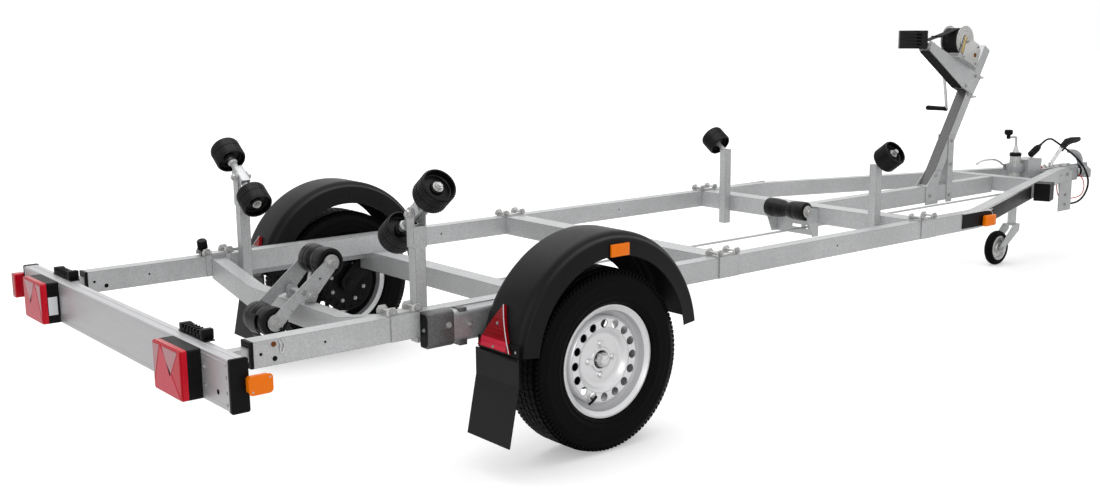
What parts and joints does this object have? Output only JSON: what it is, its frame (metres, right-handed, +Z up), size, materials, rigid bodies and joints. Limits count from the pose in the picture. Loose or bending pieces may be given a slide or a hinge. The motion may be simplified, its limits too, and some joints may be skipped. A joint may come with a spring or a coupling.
{
  "type": "boat trailer",
  "caption": "Galvanised boat trailer with braked axle, black fenders, keel and side rollers, winch post, jockey wheel, overrun coupling and pull-out light board.",
  "frame": {"origin": "middle of the whole length and width, on the floor", "axes": "+X forward to the tow ball, +Y to the left, +Z up"},
  "size_m": [6.274, 1.9846, 1.388],
  "materials": {
    "galvanised": "hot-dip galvanised",
    "cast_housing": "galvanised casting",
    "aluminium": "mill finish",
    "black_plastic": "matt",
    "black_moulding": "fine grain",
    "rubber": "matt",
    "tyre": "matt",
    "silver_rim": "silver paint",
    "red_lens": "ribbed lens",
    "orange_lens": "ribbed lens",
    "webbing": "woven",
    "cable_black": "smooth",
    "cable_red": "smooth"
  },
  "bodies": {
    "chassis": {"frame_rail_left": "galvanised", "frame_rail_right": "galvanised", "black_caps": "black_plastic", "rear_cross_beam": "galvanised", "cross_beams": "galvanised", "beam_clamps": "galvanised", "keel_beam": "galvanised", "axle_beam": "galvanised", "axle_brackets": "galvanised", "mudflaps": "rubber", "fender_reflectors": "red_lens", "bow_roller_bracket": "galvanised", "roller_posts": "galvanised", "winch_post": "galvanised", "bow_stop_arm": "galvanised", "bow_stop": "rubber", "winch_frame": "galvanised", "overrun_housing": "cast_housing", "draw_bellows": "rubber", "coupling_head": "cast_housing", "coupling_handle": "galvanised", "handbrake_lever": "black_plastic", "nose_brackets": "galvanised", "jockey_clamp": "black_plastic", "marker_flags": "black_plastic", "flag_lamps": "orange_lens", "brake_rod": "galvanised", "light_cable": "cable_black", "breakaway_cable": "cable_red", "fender_left": "black_moulding", "fender_right": "black_moulding"},
    "wheel_left": {"rim_left": "silver_rim", "tyre_left": "tyre"},
    "wheel_right": {"rim_right": "silver_rim", "tyre_right": "tyre"},
    "rear_board": {"light_board": "aluminium", "board_end_caps": "black_plastic", "board_slide_tubes": "galvanised", "board_buckles": "black_plastic", "lamp_housings": "black_plastic", "lamp_lenses": "red_lens", "board_markers": "orange_lens"},
    "keel_rocker": {"keel_rocker": "galvanised"},
    "keel_roller_rear": {"keel_roller_rear": "rubber"},
    "keel_roller_fore": {"keel_roller_fore": "rubber"},
    "bow_roller": {"bow_roller": "rubber"},
    "jockey_leg": {"jockey_tube": "galvanised"},
    "jockey_swivel": {"jockey_fork": "galvanised"},
    "jockey_wheel": {"jockey_wheel": "rubber"},
    "winch_drum": {"winch_drum": "galvanised", "winch_strap": "webbing"},
    "winch_crank": {"winch_crank": "galvanised"},
    "side_rocker_left": {"side_rocker_left": "galvanised"},
    "side_roller_outer_left": {"side_roller_outer_left": "rubber"},
    "side_roller_inner_left": {"side_roller_inner_left": "rubber"},
    "side_roller_front_left": {"side_roller_front_left": "rubber"},
    "side_rocker_right": {"side_rocker_right": "galvanised"},
    "side_roller_outer_right": {"side_roller_outer_right": "rubber"},
    "side_roller_inner_right": {"side_roller_inner_right": "rubber"},
    "side_roller_front_right": {"side_roller_front_right": "rubber"}
  },
  "joints": [
    {"name": "wheel_left_spin", "type": "hinge", "parent": "chassis", "child": "wheel_left", "pos_m": [-1.747, 0.869, 0.3145], "axis": [0, 1, 0], "continuous": true},
    {"name": "wheel_right_spin", "type": "hinge", "parent": "chassis", "child": "wheel_right", "pos_m": [-1.747, -0.869, 0.3145], "axis": [0, 1, 0], "continuous": true},
    {"name": "board_slide", "type": "slide", "parent": "chassis", "child": "rear_board", "axis": [1, 0, 0], "range_m": [-0.35, 0.05]},
    {"name": "jockey_lift", "type": "slide", "parent": "chassis", "child": "jockey_leg", "axis": [0, 0, 1], "range_m": [-0.12, 0.2]},
    {"name": "jockey_swivel", "type": "hinge", "parent": "jockey_leg", "child": "jockey_swivel", "pos_m": [2.293, 0, 0.2], "axis": [0, 0, 1], "continuous": true},
    {"name": "jockey_wheel_spin", "type": "hinge", "parent": "jockey_swivel", "child": "jockey_wheel", "pos_m": [2.143, 0, 0.1], "axis": [0, 1, 0], "continuous": true},
    {"name": "keel_rocker_tilt", "type": "hinge", "parent": "chassis", "child": "keel_rocker", "pos_m": [-2.383, 0, 0.49], "axis": [0, 1, 0], "range_deg": [0, 75]},
    {"name": "keel_roller_rear_spin", "type": "hinge", "parent": "keel_rocker", "child": "keel_roller_rear", "pos_m": [-2.526, 0, 0.413], "axis": [0, 1, 0], "continuous": true},
    {"name": "keel_roller_fore_spin", "type": "hinge", "parent": "keel_rocker", "child": "keel_roller_fore", "pos_m": [-2.298, 0, 0.597], "axis": [0, 1, 0], "continuous": true},
    {"name": "bow_roller_spin", "type": "hinge", "parent": "chassis", "child": "bow_roller", "pos_m": [0.272, 0, 0.52], "axis": [0, 1, 0], "continuous": true},
    {"name": "side_rocker_left_tilt", "type": "hinge", "parent": "chassis", "child": "side_rocker_left", "pos_m": [-2.292, 0.6337, 0.842], "axis": [1, 0, 0], "range_deg": [-36.5, 5]},
    {"name": "side_roller_outer_left_spin", "type": "hinge", "parent": "side_rocker_left", "child": "side_roller_outer_left", "pos_m": [-2.292, 0.74142, 0.92171], "axis": [0, 0.8039, 0.5948], "continuous": true},
    {"name": "side_roller_inner_left_spin", "type": "hinge", "parent": "side_rocker_left", "child": "side_roller_inner_left", "pos_m": [-2.292, 0.52598, 0.76229], "axis": [0, 0.8039, 0.5948], "continuous": true},
    {"name": "side_roller_front_left_spin", "type": "hinge", "parent": "chassis", "child": "side_roller_front_left", "pos_m": [0.3277, 0.54074, 0.81534], "axis": [0, 0.8039, 0.5948], "continuous": true},
    {"name": "side_rocker_right_tilt", "type": "hinge", "parent": "chassis", "child": "side_rocker_right", "pos_m": [-2.292, -0.6337, 0.842], "axis": [-1, 0, 0], "range_deg": [-36.5, 5]},
    {"name": "side_roller_outer_right_spin", "type": "hinge", "parent": "side_rocker_right", "child": "side_roller_outer_right", "pos_m": [-2.292, -0.74142, 0.92171], "axis": [0, -0.8039, 0.5948], "continuous": true},
    {"name": "side_roller_inner_right_spin", "type": "hinge", "parent": "side_rocker_right", "child": "side_roller_inner_right", "pos_m": [-2.292, -0.52598, 0.76229], "axis": [0, -0.8039, 0.5948], "continuous": true},
    {"name": "side_roller_front_right_spin", "type": "hinge", "parent": "chassis", "child": "side_roller_front_right", "pos_m": [0.3277, -0.54074, 0.81534], "axis": [0, -0.8039, 0.5948], "continuous": true},
    {"name": "winch_drum_turn", "type": "hinge", "parent": "chassis", "child": "winch_drum", "pos_m": [1.641, 0, 1.308], "axis": [0, 1, 0], "continuous": true},
    {"name": "winch_crank_turn", "type": "hinge", "parent": "chassis", "child": "winch_crank", "pos_m": [1.658, 0, 1.235], "axis": [0, 1, 0], "continuous": true}
  ],
  "couplings": [
    {"joint": "winch_crank_turn", "follows": "winch_drum_turn", "ratio": -4}
  ]
}
